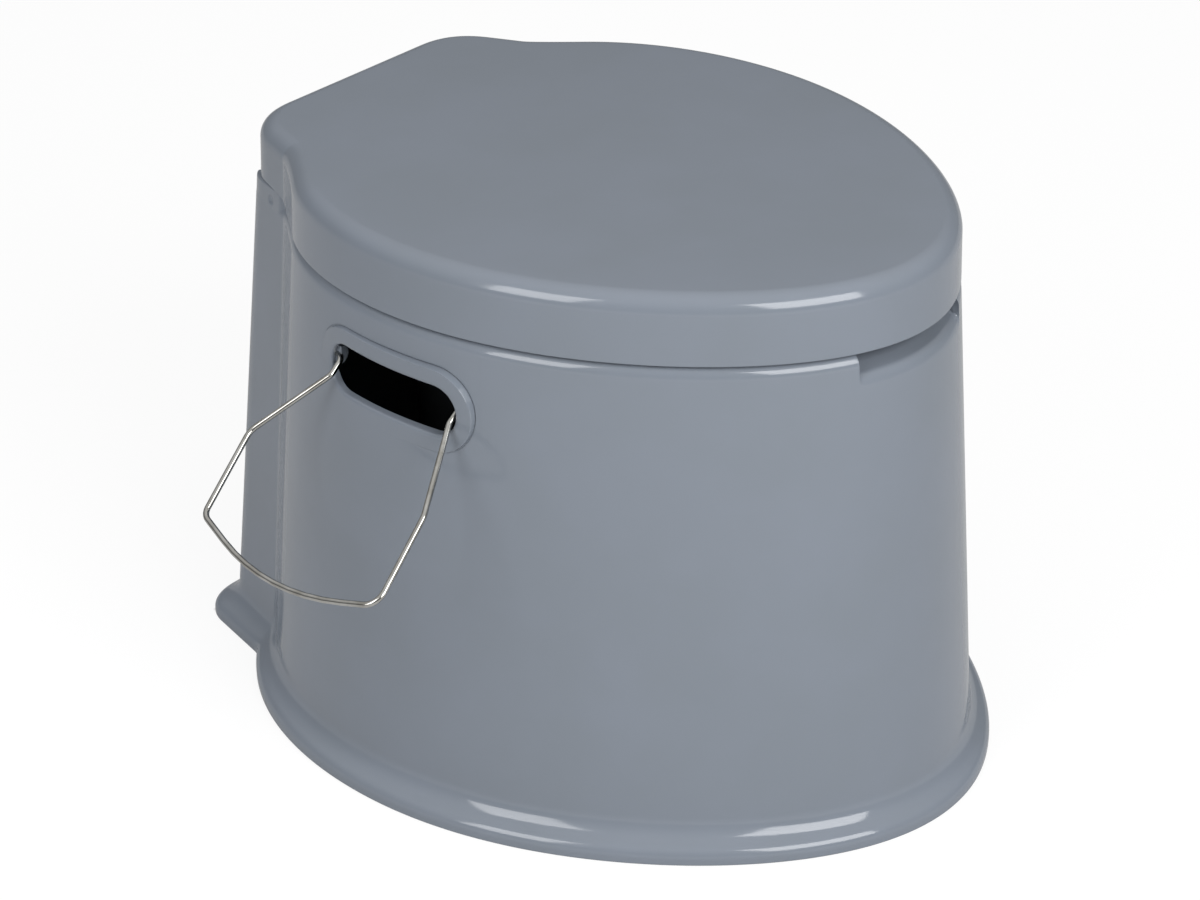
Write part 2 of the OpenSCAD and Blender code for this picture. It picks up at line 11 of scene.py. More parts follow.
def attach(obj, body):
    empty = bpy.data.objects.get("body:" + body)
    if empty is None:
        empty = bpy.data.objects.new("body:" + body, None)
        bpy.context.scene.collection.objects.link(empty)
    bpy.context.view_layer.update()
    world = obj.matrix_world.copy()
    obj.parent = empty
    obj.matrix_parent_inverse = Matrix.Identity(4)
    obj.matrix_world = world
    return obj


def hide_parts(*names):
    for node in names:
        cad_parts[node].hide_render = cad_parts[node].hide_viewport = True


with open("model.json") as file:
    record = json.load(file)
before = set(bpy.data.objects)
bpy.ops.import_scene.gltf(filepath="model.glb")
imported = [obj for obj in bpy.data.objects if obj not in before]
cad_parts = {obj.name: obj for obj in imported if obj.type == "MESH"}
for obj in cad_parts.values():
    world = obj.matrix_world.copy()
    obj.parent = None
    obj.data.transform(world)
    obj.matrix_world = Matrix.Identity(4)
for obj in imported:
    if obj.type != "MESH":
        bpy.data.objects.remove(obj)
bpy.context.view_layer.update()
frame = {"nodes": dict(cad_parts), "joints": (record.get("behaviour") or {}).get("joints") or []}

MM = 0.001

# ---- sizes of the moulded plan, in millimetres; "out" is always a distance outside the top edge ----

HALF_TOP = 148
FRONT_REACH = 196.5
OVAL_REACH = 151
BLOCK_REACH = 169.5
BLOCK_SIDE = Vector((86.8, 143.5))
BLOCK_SIDE_GROWTH = Vector((0.89, 0.46))
BLOCK_BACK_GROWTH = 0.9
BLOCK_FLARE = radians(22)
FLARE_LOSS = radians(0.2)
BLEND_TURN = radians(132)
BLEND_SHIFT = radians(0.25)
CASING_CORNER = 17
LID_CORNER = 26
CREASE_LEN = 4.5
FRONT_FULLNESS = 0.964
REAR_FULLNESS = 1.026

CASING_H = 257.6
WALL_LEAN = 19
CASING_WALL = 3
CASING_EDGE_R = 6.5
RIM_OUT = 11.5
RIM_LIP_H = 3.5
RIM_EDGE_R = 6.5
RIM_ROOT_R = 13.5
LIP_FOOT_R = 1.2
RECESS_HALF = 40
RECESS_FOOT = 241
RECESS_ROLL = (6.5, 6)
RECESS_FLOOR = (10, 15)
RECESS_TOP = (16.6, 16.5)

SLOT_LEN = 84
SLOT_H = 25.6
SLOT_Y = 6.5
SLOT_Z = 219
SURROUND_OUT = 4.2
SURROUND_SHIFT = 5
SLOT_ROOM = (15, 14)
COLLAR_T = 4
COLLAR_DEPTH = 4.4
DECK_OPENING = (105.6, 130.6)

LID_Z = 258.1
LID_H = 34.2
LID_WALL = 2.8
LID_EDGE_R = 9.5
LID_LEAN = 0.8
BACK_Z = 262
ARCH_Z = 263.6
ARCH_START = 122
ARCH_TOP = 138
CHEEK_START = 127
CHEEK_FOOT = 248
CHEEK_T = 4
CHEEK_BLEND = 7
DIMPLE = (143, 256)
DIMPLE_R = 6
DIMPLE_DEPTH = 0.8

EAR_R = 6.5
KNUCKLE_R = 15
KNUCKLE_X = 60
KNUCKLE_LEN = 12
PIN_END = 66
WEB_X = 24.1
WEB_T = 6
LID_EAR = (45.2, 59.7)
SEAT_EAR = (30.4, 44.9)
PIN_R = 2.5
PIN_PLAY = 0.1
EAR_FLAT = 1.5
EAR_EASE = 0.4
WINDOW_DROP = 21
LUG_R = 4.5
GAP = 0.3
LIP_EDGE_R = 0.7

SEAT_Z = 257.9
SEAT_H = 22
SEAT_CLEAR = 4
SEAT_WALL = 3
SEAT_EDGE_R = 7
SEAT_LIP_R = 6
SEAT_DISH = 4
SEAT_HOLE_W = 184
SEAT_HOLE_LEN = 236
# Corners round the pins' axis of the arm from the seat's ear to its ring
SEAT_ARM = [(-5, 3.2), (5, 3.2), (5, 13.5), (3.5, 19), (-2, 26), (-6.5, 33), (-31.8, 33), (-31.8, 26),
            (-13, 25.9), (-7.5, 19), (-5, 14.6)]

BUCKET_A = 103
BUCKET_B = 128
BUCKET_FRONT = 25
BUCKET_DEPTH = 208
BUCKET_TAPER = 16
BUCKET_WALL = 2
BUCKET_FOOT_R = 9
FLANGE_Z = 257.9
FLANGE_T = 3
FLANGE_W = 11
BAIL_R = 2
BAIL_X = 109.6
BAIL_Z = 266.5
BAIL_BACK = 135.7
BAIL_BEND_R = 62
GRIP_R = 5.3
GRIP_LEN = 76
GRIP_WAVE = (0.35, 15)

HOLDER_R = 1.5
HOLDER_ROOT_W = 76
HOLDER_FRONT_BEND = (58, 55)
HOLDER_REAR_BEND = (53, 61)
HOLDER_FRONT_CORNER = (105.5, 60)
HOLDER_REAR_CORNER = (100, 56)
HOLDER_BOW = (122.8, 2)
HOLDER_BOW_R = 120
HOLDER_REAR_BEND_R = 4.6
HOLDER_ANGLE = 36
PIVOT_INSET = 9.6

WORLD_LIGHT = 0.2
ZENITH_LIGHT = 1
FLOOR_GLOW = 0.85
FLOOR_REACH = 4000
# Middle and reach, in metres, of the casing's inside on the floor
OVAL_FOOTPRINT = ((0, -0.02, 0), (0.165, 0.193, 1))
BLOCK_FOOTPRINT = ((0, 0.1, 0), (0.1, 0.0925, 1))
LAMP_TARGET = Vector((0, 0, 0.15))

CAMERA_TARGET = Vector((0, 0, 0.1248))
CAMERA_AZIMUTH = -50.545
CAMERA_ELEVATION = 29.071
CAMERA_REACH = 1.69186
CAMERA_LENS = 98.25
CAMERA_SENSOR = 36
CAMERA_CLIP = 20

joints = {joint["name"]: joint for joint in frame["joints"]}
HINGE = Vector(joints["seat_hinge"]["pos_m"]) / MM
PIVOT = Vector(joints["roll_holder_swing"]["pos_m"]) / MM


# ---- outline ----

def oval_point(turn, out):
    """Point of the oval at an angle from the front: an ellipse made fuller or more pointed."""
    front = cos(turn) >= 0
    fullness = FRONT_FULLNESS if front else REAR_FULLNESS
    k = (1 - fullness) / (1 + fullness)
    reach = (FRONT_REACH if front else OVAL_REACH) + out
    return Vector(((HALF_TOP + out) * (sin(turn) - k * sin(3 * turn)),
                   -reach * (cos(turn) + k * cos(3 * turn)))) / (1 + k)


def oval_turn(before, out, low, high):
    """Angle up to which a test holds along the oval, by halving."""
    for _ in range(30):
        middle = (low + high) / 2
        if before(oval_point(middle, out)):
            low = middle
        else:
            high = middle
    return low


def wall_offset(z):
    return WALL_LEAN * (CASING_H - z) / CASING_H


def shares(count, start=0):
    return [i / count for i in range(start, count + 1)]


# Angles of the outline's columns along the front, closer together at the recess's ends
RECESS_EDGES = [oval_turn(lambda p: p.x < RECESS_HALF + step, 0, 0, pi / 2)
                for step in (-3, -2.3, -1.7, -1.2, -0.8, -0.4, 0, 0.4, 0.9)]
FRONT_TURNS = sorted([t * pi / 2 for t in shares(80)
                      if not RECESS_EDGES[0] - 0.008 < t * pi / 2 < RECESS_EDGES[-1] + 0.008]
                     + RECESS_EDGES)
# How much of the recess's depth each of these columns takes: all inside it, none outside
RECESS_SHARES = [sqrt(min(1, max(0, (RECESS_HALF + 0.4 - oval_point(turn, 0).x) / 2.7)))
                 for turn in FRONT_TURNS]
REAR_SHARES = shares(40, 1)
CREASE_SHARES = [0.2, 0.4, 0.55, 0.67, 0.76, 0.83, 0.88, 0.92, 0.95, 0.975, 1]
CORNER_SHARES = shares(14)
BACK_SHARES = shares(14, 1)


def meeting(p, u, q, v):
    """Where two lines meet, each through a point and along a direction."""
    return p + u * ((q - p).cross(v) / u.cross(v))


def bend(start, corner, end, steps):
    """Curve from one place to another on the two lines through a corner."""
    return [start * (1 - s) ** 2 + corner * 2 * s * (1 - s) + end * s ** 2 for s in steps]


def half_plan(out, corner_len, recess=0):
    """Right half of the outline from the front to the back, with the finger recess set in.

    Further down the casing, where it is let out, its block spreads less and its oval goes on longer."""
    lean = max(out, 0)
    sweep = BLEND_TURN + BLEND_SHIFT * lean
    flare = BLOCK_FLARE - FLARE_LOSS * lean
    start = oval_point(sweep, out)
    tangent = oval_point(sweep + 0.01, out) - oval_point(sweep - 0.01, out)
    along = Vector((-sin(flare), cos(flare)))
    growth = BLOCK_SIDE_GROWTH if out > 0 else Vector((cos(flare), sin(flare)))
    back = Vector((0, BLOCK_REACH + out * (BLOCK_BACK_GROWTH if out > 0 else 1)))
    crease = meeting(start, tangent, BLOCK_SIDE + growth * out, along)
    corner = meeting(crease, along, back, Vector((1, 0)))
    leg = corner_len + min(out, 0) * tan((pi / 2 - BLOCK_FLARE) / 2)
    points = [oval_point(turn, out) + Vector((0, recess * share))
              for turn, share in zip(FRONT_TURNS, RECESS_SHARES)]
    points += [oval_point(pi / 2 + (sweep - pi / 2) * s, out) for s in REAR_SHARES]
    points += bend(start, crease, crease + along * CREASE_LEN, CREASE_SHARES)
    flat = Vector((corner.x - leg, back.y))
    points += bend(corner - along * leg, corner, flat, CORNER_SHARES)
    return points + [Vector((flat.x * (1 - s), back.y)) for s in BACK_SHARES]


def whole(half):
    """Closed outline from its right half, whose ends lie on the midline."""
    return half + [Vector((-p.x, p.y)) for p in half[-2:0:-1]]


def plan(out, corner_len=CASING_CORNER, recess=0):
    return whole(half_plan(out, corner_len, recess))


def ellipse_like(outline, centre_y, a, b):
    """Ellipse with a point for each point of an outline, in the same direction from its middle."""
    points = []
    for p in outline:
        turn = atan2(p.x / a, (centre_y - p.y) / b)
        points.append(Vector((a * sin(turn), centre_y - b * cos(turn))))
    return points


# ---- mesh tools ----

def loop_edges(bm, loop):
    return [bm.edges.get((a, b)) for a, b in zip(loop, loop[1:] + loop[:1])]


def first_loop(bm, places):
    """Closed loop of vertices at a list of places."""
    loop = bmesh.ops.create_circle(bm, segments=len(places), radius=1)["verts"]
    for vertex, place in zip(loop, places):
        vertex.co = place
    return loop


def next_loop(bm, loop, places):
    """Extrudes a closed loop of vertices to a list of places."""
    made = bmesh.ops.extrude_edge_only(bm, edges=loop_edges(bm, loop))["geom"]
    fresh = {item for item in made if isinstance(item, bmesh.types.BMVert)}
    new = [next(e.other_vert(v) for e in v.link_edges if e.other_vert(v) in fresh) for v in loop]
    for vertex, place in zip(new, places):
        vertex.co = place
    return new


def loft(bm, stack):
    """Skin through a stack of outlines with their places, as a list of vertex loops."""
    loops = [first_loop(bm, stack[0])]
    for places in stack[1:]:
        loops.append(next_loop(bm, loops[-1], places))
    return loops


def level(outline, z):
    return [Vector((p.x, p.y, z)) for p in outline]


def cap(bm, loop):
    bmesh.ops.contextual_create(bm, geom=loop_edges(bm, loop))


def join(bm, loop_a, loop_b):
    bmesh.ops.bridge_loops(bm, edges=loop_edges(bm, loop_a) + loop_edges(bm, loop_b))


def sharpen(bm, angle=radians(38)):
    for edge in bm.edges:
        edge.smooth = len(edge.link_faces) != 2 or edge.calc_face_angle(0) < angle


def finish_mesh(bm, name):
    """Mesh object in metres from a mesh in millimetres, with its faces turned outwards."""
    bmesh.ops.remove_doubles(bm, verts=bm.verts, dist=0.001)
    bmesh.ops.recalc_face_normals(bm, faces=bm.faces)
    bmesh.ops.scale(bm, vec=(MM, MM, MM), verts=bm.verts)
    for face in bm.faces:
        face.smooth = True
    sharpen(bm)
    mesh = bpy.data.meshes.new(name)
    bm.to_mesh(mesh)
    bm.free()
    piece = bpy.data.objects.new(name, mesh)
    bpy.context.scene.collection.objects.link(piece)
    return piece


def box(bm, low, high):
    """Box between two corners as a lump of its own."""
    verts = bmesh.ops.create_cube(bm, size=1)["verts"]
    bmesh.ops.scale(bm, vec=Vector(high) - Vector(low), verts=verts)
    bmesh.ops.translate(bm, vec=(Vector(low) + Vector(high)) / 2, verts=verts)


def box_tool(low, high):
    bm = bmesh.new()
    box(bm, low, high)
    return finish_mesh(bm, "tool")


def cut(piece, tools, operation="DIFFERENCE"):
    """Applies tools to a piece for good and removes them."""
    for tool in tools:
        modifier = piece.modifiers.new("cut", "BOOLEAN")
        modifier.object = tool
        modifier.operation = operation
        modifier.solver = "EXACT"
    graph = bpy.context.evaluated_depsgraph_get()
    mesh = bpy.data.meshes.new_from_object(piece.evaluated_get(graph))
    piece.modifiers.clear()
    piece.data = mesh
    for tool in tools:
        bpy.data.objects.remove(tool)
    bm = bmesh.new()
    bm.from_mesh(mesh)
    sharpen(bm)
    bm.to_mesh(mesh)
    bm.free()


def weighted(piece):
    """Normals that follow the large faces, so that flat walls stay flat beside small radii."""
    modifier = piece.modifiers.new("weighted normals", "WEIGHTED_NORMAL")
    modifier.keep_sharp = True
    modifier.weight = 60


def both(x_low, x_high):
    """The same stretch along X on both sides."""
    return [(x_low, x_high), (-x_high, -x_low)]


# ---- casing ----

def rim_profile(wall, steps):
    """Foot rim as (height, offset) pairs, set in from the outer face by a wall."""
    turn = acos(1 - RIM_OUT / (RIM_EDGE_R + RIM_ROOT_R))
    rim_h = RIM_LIP_H + (RIM_EDGE_R + RIM_ROOT_R) * sin(turn)
    wall_out = wall_offset(rim_h)
    edge, root = RIM_EDGE_R - wall, RIM_ROOT_R + wall
    roll = [(RIM_LIP_H + edge * sin(turn * s), wall_out + RIM_OUT - RIM_EDGE_R + edge * cos(turn * s))
            for s in shares(steps)]
    sweep = [(rim_h - root * sin(turn * s), wall_out + RIM_ROOT_R - root * cos(turn * s))
             for s in reversed(shares(steps)[:-1])]
    return roll + sweep


def edge_profile(top, side, r, steps):
    """Quarter-round top edge as (height, offset) pairs."""
    return [(top - r + r * sin(pi / 2 * s), side - r * (1 - cos(pi / 2 * s))) for s in shares(steps)]


def recess_at(z):
    """Depth of the finger recess at a height: a rolled edge, then a sloping floor and the back."""
    rise = z - RECESS_FOOT
    if rise <= RECESS_ROLL[0]:
        return RECESS_ROLL[1] * (1 - sqrt(1 - (max(0, rise) / RECESS_ROLL[0]) ** 2))
    low, high = ((RECESS_ROLL, RECESS_FLOOR) if rise < RECESS_FLOOR[0] else (RECESS_FLOOR, RECESS_TOP))
    return low[1] + (high[1] - low[1]) * (rise - low[0]) / (high[0] - low[0])


def casing_level(z, out, wall=0):
    return level(plan(out - wall, CASING_CORNER, recess_at(z + wall)), z)


# Heights of the wall's rows, closer together beside the slots and the recess
WALL_ROWS = ([26 + 8 * i for i in range(19)] + [176 + 3.4 * i for i in range(19)]
             + [RECESS_FOOT + rise for rise in (0, 1.5, 3, 4.2, 5.1, 5.8, 6.3, 6.5, 7.6, 8.8, 10)])


def slot_places(start, distance, x_of):
    """Places on a curve round the hand slot, each the nearest to one of a loop's (y, z) starts."""
    straight = (SLOT_LEN - SLOT_H) / 2
    places = []
    for y, z in start:
        along = min(straight, max(-straight, y - SLOT_Y))
        way = Vector((y - SLOT_Y - along, z - SLOT_Z)).normalized() * (SLOT_H / 2 + distance)
        places.append(Vector((0, SLOT_Y + along + way.x, SLOT_Z + way.y)))
    for place in places:
        place.x = x_of(place.y, place.z)
    return places


def wall_x(y, z, out=0):
    """Distance of the casing's side wall from the midline."""
    out += wall_offset(z)
    return oval_point(oval_turn(lambda p: p.y < y, out, 0, pi), out).x


def surround_rise(y, z):
    """How far the slot's surround stands out from the wall: it fades at the rear and the bottom."""
    face = oval_point(oval_turn(lambda p: p.y < y + SURROUND_SHIFT, SURROUND_OUT, 0, pi), SURROUND_OUT)
    rise = face.x - wall_x(y, z)
    return (rise + sqrt(rise * rise + 0.04)) / 2


def open_slot(bm, rows, heights, side, profile):
    """Cuts a hand slot's room from rows of wall vertices and draws loops round the slot into it.

    The profile's entries are (distance from the slot, share of the surround's rise, depth)."""
    count = len(rows[0])
    reach_y, reach_z = SLOT_LEN / 2 + SLOT_ROOM[0], SLOT_H / 2 + SLOT_ROOM[1]
    inside = [r for r, z in enumerate(heights) if abs(z - SLOT_Z) < reach_z]
    columns = [c for c in range(count) if rows[0][c].co.x * side > 100
               and abs(rows[0][c].co.y - SLOT_Y) < reach_y]
    r0, r1, c0, c1 = inside[0], inside[-1], columns[0], columns[-1]
    loop = ([rows[r0][c] for c in range(c0, c1 + 1)] + [rows[r][c1] for r in range(r0 + 1, r1)]
            + [rows[r1][c] for c in range(c1, c0 - 1, -1)] + [rows[r][c0] for r in range(r1 - 1, r0, -1)])
    block = {rows[r][c] for r in range(r0, r1 + 1) for c in range(c0, c1 + 1)}
    faces = [f for f in bm.faces if all(v in block for v in f.verts)]
    bmesh.ops.delete(bm, geom=faces, context="FACES")
    start = [(v.co.y, v.co.z) for v in loop]
    for distance, share, depth in profile:
        places = slot_places(start, distance,
                             lambda y, z: side * (wall_x(y, z) + share * surround_rise(y, z) - depth))
        loop = next_loop(bm, loop, places)
    return loop


# From the wall to the slot: a fine groove, the surround's side and face, and its rolled edge
OUTER_SLOT = [(12.5, 0, 0), (10.2, 0, 0), (9.75, 0, 0), (9.6, -0.08, 0), (9.5, -0.24, 0),
              (9.15, -0.24, 0), (9.05, 0, 0), (9, 0.3, 0), (8.95, 0.6, 0), (8.88, 0.85, 0),
              (8.7, 0.97, 0), (8.4, 1, 0), (5, 1, 0), (2.4, 1, 0), (1.5, 1, 0.06),
              (0.8, 1, 0.32), (0.3, 1, 0.75), (0.06, 1, 1.3), (0, 1, 1.9), (0, 0, COLLAR_DEPTH)]
INNER_SLOT = [(11, 0, CASING_WALL), (8, 0, CASING_WALL), (COLLAR_T, 0, CASING_WALL),
              (COLLAR_T, 0, COLLAR_DEPTH)]


def make_casing_shell(bm):
    """Wall, rim and deck as one closed skin: up the outside, over the deck and down the inside."""
    rim_lean, rim_top = rim_profile(0, 1)[0][1], rim_profile(0, 1)[-1][0]
    foot = [(LIP_FOOT_R * (1 - sin(pi / 2 * s)), rim_lean - LIP_FOOT_R * (1 - cos(pi / 2 * s)))
            for s in reversed(shares(4))]
    rows = [z for z in WALL_ROWS if z > rim_top + 2]
    rim = rim_profile(0, 9)
    outer = (foot + rim + [(z, wall_offset(z)) for z in rows]
             + edge_profile(CASING_H, wall_offset(CASING_H - CASING_EDGE_R), CASING_EDGE_R, 7))
    deck_out = outer[-1][1]
    deck_z = CASING_H - CASING_WALL
    inner = [(deck_z, wall_offset(deck_z))] + [(z, wall_offset(z)) for z in reversed(rows)]
    inner_rim = list(reversed(rim_profile(CASING_WALL, 4))) + [(0, rim_lean - CASING_WALL)]
    deck_edge = plan(deck_out, CASING_CORNER, recess_at(CASING_H))
    opening = ellipse_like(deck_edge, -BUCKET_FRONT, *DECK_OPENING)
    middle = [p * 0.4 + q * 0.6 for p, q in zip(deck_edge, opening)]
    near = [p * 0.93 + q * 0.07 for p, q in zip(deck_edge, opening)]
    stack = [casing_level(z, out) for z, out in outer]
    stack += [level(near, CASING_H), level(middle, CASING_H), level(opening, CASING_H),
              level(opening, deck_z)]
    first_outer, first_inner = len(foot) + len(rim), len(stack) + 1
    stack += [casing_level(z, out, CASING_WALL) for z, out in inner]
    stack += [casing_level(z, out) for z, out in inner_rim]
    loops = loft(bm, stack)
    join(bm, loops[-1], loops[0])
    outer_rows = loops[first_outer:first_outer + len(rows)]
    inner_rows = loops[first_inner:first_inner + len(rows)][::-1]
    for side in (1, -1):
        join(bm, open_slot(bm, outer_rows, rows, side, OUTER_SLOT),
             open_slot(bm, inner_rows, rows, side, INNER_SLOT))


def bar(bm, x_low, x_high, y, z, outline, bore=0):
    """Bar along X from an outline round its middle, with a round bore if one is given."""
    def ring(x, points):
        return [Vector((x, y + p[0], z + p[1])) for p in points]
    if not bore:
        loops = loft(bm, [ring(x_low, outline), ring(x_high, outline)])
        cap(bm, loops[0])
        cap(bm, loops[1])
        return
    hole = [Vector(p).normalized() * bore for p in outline]
    eased = [Vector(p) * (1 - EAR_EASE / Vector(p).length) for p in outline]
    loops = loft(bm, [ring(x_low, hole), ring(x_low, eased), ring(x_low + EAR_EASE, outline),
                      ring(x_high - EAR_EASE, outline), ring(x_high, eased), ring(x_high, hole)])
    join(bm, loops[-1], loops[0])


def round_outline(r, steps=48):
    return [Vector((r * cos(2 * pi * k / steps), r * sin(2 * pi * k / steps))) for k in range(steps)]


def round_tool(x_low, x_high, y, z, r, steps=64):
    bm = bmesh.new()
    bar(bm, x_low, x_high, y, z, round_outline(r, steps))
    return finish_mesh(bm, "tool")


def pin_bores():
    return [round_tool(x_low, x_high, HINGE.y, HINGE.z, PIN_R + PIN_PLAY)
            for x_low, x_high in both(WEB_X - 1, PIN_END + GAP)]


def make_lumps():
    """Knuckles and inner webs of the hinge, kept within the casing's faces and bored for the pins."""
    bm = bmesh.new()
    low = HINGE.z - 2 * KNUCKLE_R
    profile = [(low, wall_offset(low) - GAP)] + edge_profile(
        CASING_H - GAP, wall_offset(CASING_H) - GAP, CASING_EDGE_R, 7)
    loops = loft(bm, [level(plan(out), z) for z, out in profile])
    cap(bm, loops[0])
    cap(bm, loops[-1])
    lumps = finish_mesh(bm, "hinge_lumps")
    bm = bmesh.new()
    for x_low, x_high in both(KNUCKLE_X, KNUCKLE_X + KNUCKLE_LEN):
        bar(bm, x_low, x_high, HINGE.y, HINGE.z, round_outline(KNUCKLE_R, 96))
    for x_low, x_high in both(WEB_X, WEB_X + WEB_T):
        box(bm, (x_low, HINGE.y - 2 * EAR_R, HINGE.z - 2 * EAR_R),
            (x_high, BLOCK_REACH, CASING_H - CASING_WALL / 2))
    cut(lumps, [finish_mesh(bm, "tool")], "INTERSECT")
    cut(lumps, pin_bores())
    return lumps


def lid_foot(p):
    """Height of the lid's lower edge: it arches up beside the hinge block and stays high behind it."""
    rise = min(1, max(0, (p.y - ARCH_START) / (ARCH_TOP - ARCH_START)))
    fall = min(1, max(0, (p.y - ARCH_TOP) / (HINGE.y - ARCH_TOP)))
    return LID_Z + (ARCH_Z - LID_Z) * sin(pi / 2 * rise) - (ARCH_Z - BACK_Z) * fall


def cheek_top(p):
    """Height of a cheek close under the lid's edge, which turns round it behind the pins' axis."""
    play = LID_Z - CASING_H
    if p.y < HINGE.y:
        return lid_foot(p) - play
    return HINGE.z + sqrt((BACK_Z - HINGE.z - play) ** 2 - (p.y - HINGE.y) ** 2)


def make_cheeks():
    """Walls that carry the casing's sides on upwards beside the hinge, each with a round dimple."""
    corner = [p for p in half_plan(0, CASING_CORNER)
              if p.y > CHEEK_START and p.x > KNUCKLE_X + KNUCKLE_LEN]
    path = [corner[0]]
    for a, b in zip(corner, corner[1:]):
        steps = ceil((b - a).length / 1.2)
        path += [a + (b - a) * k / steps for k in range(1, steps + 1)]
    rings = []
    for p, before, after in zip(path, path[:1] + path, path[1:] + path[-1:]):
        ahead = (after - before).normalized()
        start = min(1, (p - path[0]).length / CHEEK_BLEND)
        first = CASING_EDGE_R * (1 - sin(pi / 2 * start)) + 0.03
        last, top = first + CHEEK_T, cheek_top(p)
        rings.append([
            (p.x - ahead.y * (set_in - wall_offset(z)), p.y + ahead.x * (set_in - wall_offset(z)), z)
            for set_in, z in [(first + 1, CHEEK_FOOT), (first, CHEEK_FOOT + 3), (first, top - 1.2),
                              (first + 0.1, top - 0.7), (first + 0.35, top - 0.35),
                              (first + 0.7, top - 0.1), (first + 1.2, top), (last - 1.2, top),
                              (last - 0.35, top - 0.35), (last, top - 1.2), (last, CHEEK_FOOT)]])
    bm = bmesh.new()
    tool = bmesh.new()
    middle = min(path, key=lambda p: abs(p.y - DIMPLE[0]))
    for side in (1, -1):
        loops = loft(bm, [[Vector((side * x, y, z)) for x, y, z in ring] for ring in rings])
        cap(bm, loops[0])
        cap(bm, loops[-1])
        ball = bmesh.ops.create_uvsphere(tool, u_segments=48, v_segments=32, radius=DIMPLE_R)["verts"]
        reach = DIMPLE_R - DIMPLE_DEPTH
        place = (side * (middle.x + reach * cos(BLOCK_FLARE)), middle.y + reach * sin(BLOCK_FLARE),
                 DIMPLE[1])
        bmesh.ops.translate(tool, vec=place, verts=ball)
    cheeks = finish_mesh(bm, "cheeks")
    cut(cheeks, [finish_mesh(tool, "tool")])
    return cheeks


def make_lugs(bm):
    """Lugs at both ends of each hand slot for the holder's ends."""
    for side in (1, -1):
        for end in (-1, 1):
            y = SLOT_Y + end * SLOT_LEN / 2
            arc = [Vector((-LUG_R * sin(pi * s), -LUG_R * cos(pi * s))) for s in shares(20)]
            reach = min(wall_x(y + step, PIVOT.z + LUG_R) for step in (-COLLAR_T, COLLAR_T))
            out = reach - abs(PIVOT.x) - CASING_WALL / 2
            outline = arc + [Vector((out, LUG_R)), Vector((out, -LUG_R))]
            loops = loft(bm, [[Vector((side * (abs(PIVOT.x) + p.x), y + step, PIVOT.z + p.y))
                               for p in outline] for step in (-COLLAR_T, COLLAR_T)])
            cap(bm, loops[0])
            cap(bm, loops[1])


def make_casing():
    bm = bmesh.new()
    make_casing_shell(bm)
    piece = finish_mesh(bm, "casing_moulding")
    cut(piece, pin_bores() + [
        box_tool((x_low, HINGE.y - 2 * EAR_R, HINGE.z - WINDOW_DROP), (x_high, 200, CASING_H + 5))
        for x_low, x_high in both(WEB_X + WEB_T, KNUCKLE_X)])
    more = bmesh.new()
    make_lugs(more)
    bm = bmesh.new()
    bm.from_mesh(piece.data)
    for extra in (make_lumps(), make_cheeks(), finish_mesh(more, "lugs")):
        bm.from_mesh(extra.data)
        bpy.data.objects.remove(extra)
    bm.to_mesh(piece.data)
    bm.free()
    return piece


# ---- lid ----

def lid_plan(out):
    return plan(out, LID_CORNER)


def make_lid():
    bm = bmesh.new()
    feet = [lid_foot(p) for p in lid_plan(0)]
    top = LID_Z + LID_H
    edge = LIP_EDGE_R

    def foot_ring(out, rise):
        return [Vector((p.x, p.y, z + rise)) for p, z in zip(lid_plan(out), feet)]

    outer = edge_profile(top, -LID_LEAN, LID_EDGE_R, 12)
    inner = edge_profile(top - LID_WALL, -LID_LEAN - LID_WALL, LID_EDGE_R - LID_WALL, 6)
    lean = [(z, -LID_LEAN * (z - LID_Z) / (LID_H - LID_EDGE_R)) for z in (266, 270, 276)]
    rim = lid_plan(outer[-1][1])
    stack = [foot_ring(-edge * (1 - sin(pi / 2 * s)), edge * (1 - cos(pi / 2 * s))) for s in shares(4)]
    stack += [level(lid_plan(out), z) for z, out in lean + outer]
    stack += [level([p * k for p in rim], top) for k in (0.95, 0.7, 0.35)]
    loops = loft(bm, stack)
    cap(bm, loops[-1])
    inside = loft(bm, [foot_ring(-LID_WALL, 0)]
                  + [level(lid_plan(out - LID_WALL), z) for z, out in lean[:2]]
                  + [level(lid_plan(out), z) for z, out in inner]
                  + [level([p * 0.6 for p in lid_plan(inner[-1][1])], top - LID_WALL)])
    cap(bm, inside[-1])
    join(bm, loops[0], inside[0])
    for x_low, x_high in both(*LID_EAR):
        bar(bm, x_low, x_high, HINGE.y, HINGE.z, round_outline(EAR_R), PIN_R + PIN_PLAY)
        box(bm, (x_low + EAR_EASE, HINGE.y - EAR_R + EAR_FLAT, HINGE.z + PIN_R + 0.7),
            (x_high - EAR_EASE, BLOCK_REACH - 2, LID_Z + LID_EDGE_R))
    return finish_mesh(bm, "lid_moulding")


# ---- seat ----

def oval_plan(out):
    """Closed oval without the hinge block."""
    half = [oval_point(pi * s, out) for s in shares(96)]
    return whole(half)


def mouth(outline, a, b):
    return ellipse_like(outline, -BUCKET_FRONT, a, b)


